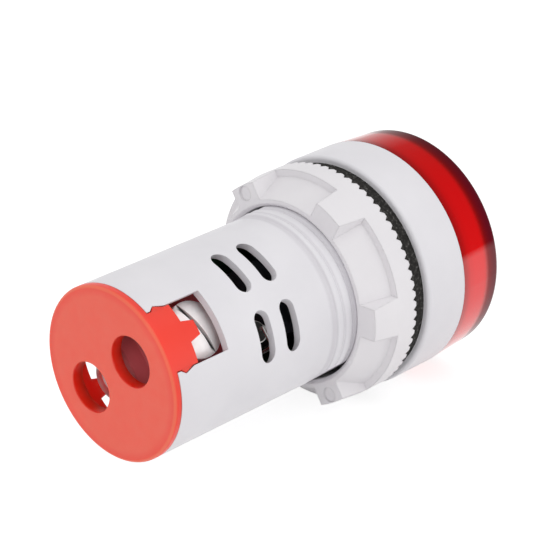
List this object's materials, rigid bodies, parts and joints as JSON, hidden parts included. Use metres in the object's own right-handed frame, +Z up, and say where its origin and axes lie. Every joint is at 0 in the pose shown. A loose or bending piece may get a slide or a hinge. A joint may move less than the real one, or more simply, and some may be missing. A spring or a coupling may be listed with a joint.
{
  "type": "panel voltmeter",
  "caption": "Round panel-mount digital voltmeter with a threaded barrel, lock nut, gasket, red lens and a covered two-wire screw terminal.",
  "frame": {"origin": "on the barrel's axis, at the rear face of the head, where the gasket and the panel seat", "axes": "+Y along the barrel from the head to the rear cap, -Y out of the lens, +Z up as the display reads, +X to the right seen from the front"},
  "size_m": [0.03, 0.0523, 0.03],
  "materials": {
    "white_plastic": "satin moulded",
    "red_lens": "clear gloss",
    "gasket_rubber": "matt",
    "nut_plastic": "satin moulded",
    "red_plastic": "satin moulded",
    "block_plastic": "satin moulded",
    "terminal_metal": "nickel plated",
    "washer_metal": "zinc plated",
    "screw_metal": "bright nickel plated",
    "board": "solder mask",
    "capacitor_case": "moulded case",
    "can_sleeve": "shrink sleeve",
    "black_epoxy": "moulded",
    "resistor_body": "cement coating",
    "module_case": "matt",
    "segment_resin": "diffusing resin"
  },
  "bodies": {
    "meter": {"housing": "white_plastic", "lens": "red_lens", "gasket": "gasket_rubber", "terminal_block": "block_plastic", "terminal_plate_1": "terminal_metal", "terminal_plate_2": "terminal_metal", "power_board": "board", "film_capacitor": "capacitor_case", "electrolytic_capacitor": "can_sleeve", "bridge_rectifier": "black_epoxy", "fuse_resistor": "resistor_body", "board_header": "black_epoxy", "display_board": "board", "controller_chip": "black_epoxy", "led_module": "module_case", "led_segments": "segment_resin"},
    "nut": {"lock_nut": "nut_plastic"},
    "cap": {"rear_cap": "red_plastic"},
    "clamp_1": {"clamp_washer_1": "washer_metal"},
    "screw_1": {"terminal_screw_1": "screw_metal"},
    "clamp_2": {"clamp_washer_2": "washer_metal"},
    "screw_2": {"terminal_screw_2": "screw_metal"}
  },
  "joints": [
    {"name": "nut_travel", "type": "slide", "parent": "meter", "child": "nut", "axis": [0, 1, 0], "range_m": [0, 0.0275]},
    {"name": "cap_pull", "type": "slide", "parent": "meter", "child": "cap", "axis": [0, 1, 0], "range_m": [0, 0.012]},
    {"name": "clamp_1_travel", "type": "slide", "parent": "meter", "child": "clamp_1", "axis": [0.766, 0, -0.6428], "range_m": [0, 0.0012]},
    {"name": "screw_1_turn", "type": "hinge", "parent": "clamp_1", "child": "screw_1", "pos_m": [-0.0054, 0.0309, 0.00453], "axis": [0.766, 0, -0.6428], "range_deg": [0, 720]},
    {"name": "clamp_2_travel", "type": "slide", "parent": "meter", "child": "clamp_2", "axis": [-0.766, 0, 0.6428], "range_m": [0, 0.0012]},
    {"name": "screw_2_turn", "type": "hinge", "parent": "clamp_2", "child": "screw_2", "pos_m": [0.0054, 0.0309, -0.00453], "axis": [-0.766, 0, 0.6428], "range_deg": [0, 720]}
  ],
  "couplings": [
    {"joint": "screw_1_turn", "follows": "clamp_1_travel", "rad_per_m": 10472},
    {"joint": "screw_2_turn", "follows": "clamp_2_travel", "rad_per_m": 10472}
  ]
}
